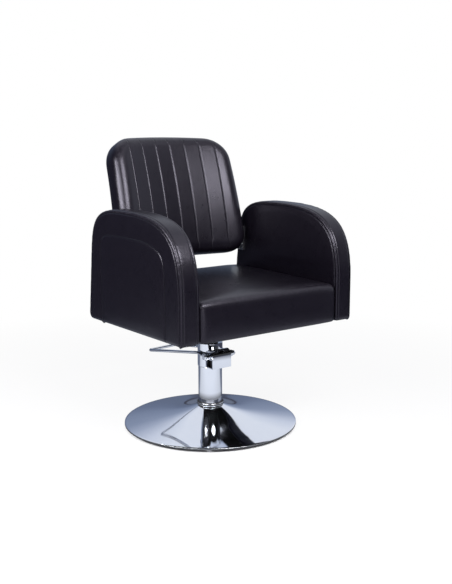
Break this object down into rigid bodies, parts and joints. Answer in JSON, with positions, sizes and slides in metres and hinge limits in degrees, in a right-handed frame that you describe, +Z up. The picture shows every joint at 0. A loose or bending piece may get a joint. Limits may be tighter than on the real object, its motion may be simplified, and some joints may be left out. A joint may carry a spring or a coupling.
{
  "type": "hairdressing chair",
  "caption": "Salon styling chair with rounded upholstered arms, a leaning channel-stitched backrest and a box seat on a hydraulic pedestal with a foot lever and a round dish base.",
  "frame": {"origin": "on the floor, on the axis of the column, under the middle of the seat", "axes": "+Z up, the chair faces -Y, +X to the left of someone who sits in it"},
  "size_m": [0.676, 0.6547, 0.9568],
  "materials": {
    "chrome": "bright chrome plating",
    "steel": "zinc-plated steel",
    "cast_iron": "black-painted casting",
    "bronze": "turned bearing bronze",
    "black_leatherette": "black grained leatherette over foam",
    "dust_cloth": "black non-woven cloth",
    "black_rubber": "matt",
    "pale_plastic": "translucent pale plastic",
    "plywood": "raw plywood"
  },
  "bodies": {
    "base": {"base_dish": "chrome", "base_weight": "cast_iron", "foot_1": "pale_plastic", "foot_2": "pale_plastic", "foot_3": "pale_plastic", "foot_4": "pale_plastic", "foot_5": "pale_plastic", "foot_6": "pale_plastic", "column_ring": "chrome", "column_tube": "chrome", "pump_cylinder": "steel", "pump_head": "chrome", "gland_cap": "black_rubber", "return_spring": "steel"},
    "plunger": {"pump_plunger": "steel"},
    "lever": {"lever_shaft": "steel", "lever_finger": "steel", "lever_hub_left": "chrome", "lever_hub_right": "chrome", "lever_loop": "chrome", "lever_ball": "chrome", "lever_nut": "chrome"},
    "lift": {"piston": "steel", "piston_seal": "black_rubber", "thrust_washer": "bronze"},
    "seat": {"ram": "chrome", "seat_hub": "steel", "seat_plate": "steel", "plate_bolt_1": "steel", "plate_bolt_2": "steel", "plate_bolt_3": "steel", "plate_bolt_4": "steel", "arm_bolt_left_1": "steel", "arm_bolt_left_2": "steel", "arm_bolt_right_1": "steel", "arm_bolt_right_2": "steel", "bracket_bolt_left_1": "steel", "bracket_bolt_left_2": "steel", "bracket_bolt_right_1": "steel", "bracket_bolt_right_2": "steel", "back_bracket_left": "steel", "back_bracket_right": "steel", "dust_cover": "dust_cloth", "seat_board": "plywood", "back_board": "plywood", "seat_rail_left": "plywood", "seat_rail_right": "plywood", "arm_board_left": "plywood", "arm_board_right": "plywood", "seat_cushion": "black_leatherette", "back_cushion": "black_leatherette", "back_panel": "black_leatherette", "arm_pad_left": "black_leatherette", "arm_pad_right": "black_leatherette"}
  },
  "joints": [
    {"name": "lever_pivot", "type": "hinge", "parent": "base", "child": "lever", "pos_m": [0, -0.047, 0.245], "axis": [-1, 0, 0], "range_deg": [0, 20], "stiffness_Nm_per_rad": 3, "springref_deg": -20.05},
    {"name": "plunger_slide", "type": "slide", "parent": "base", "child": "plunger", "axis": [0, 0, -1], "range_m": [0, 0.0056], "deforming": ["return_spring"]},
    {"name": "lift_slide", "type": "slide", "parent": "base", "child": "lift", "axis": [0, 0, 1], "range_m": [0, 0.14]},
    {"name": "seat_swivel", "type": "hinge", "parent": "lift", "child": "seat", "pos_m": [0, 0, 0.055], "axis": [0, 0, 1], "continuous": true}
  ],
  "couplings": [
    {"joint": "plunger_slide", "follows": "lever_pivot", "m_per_rad": 0.0155}
  ]
}
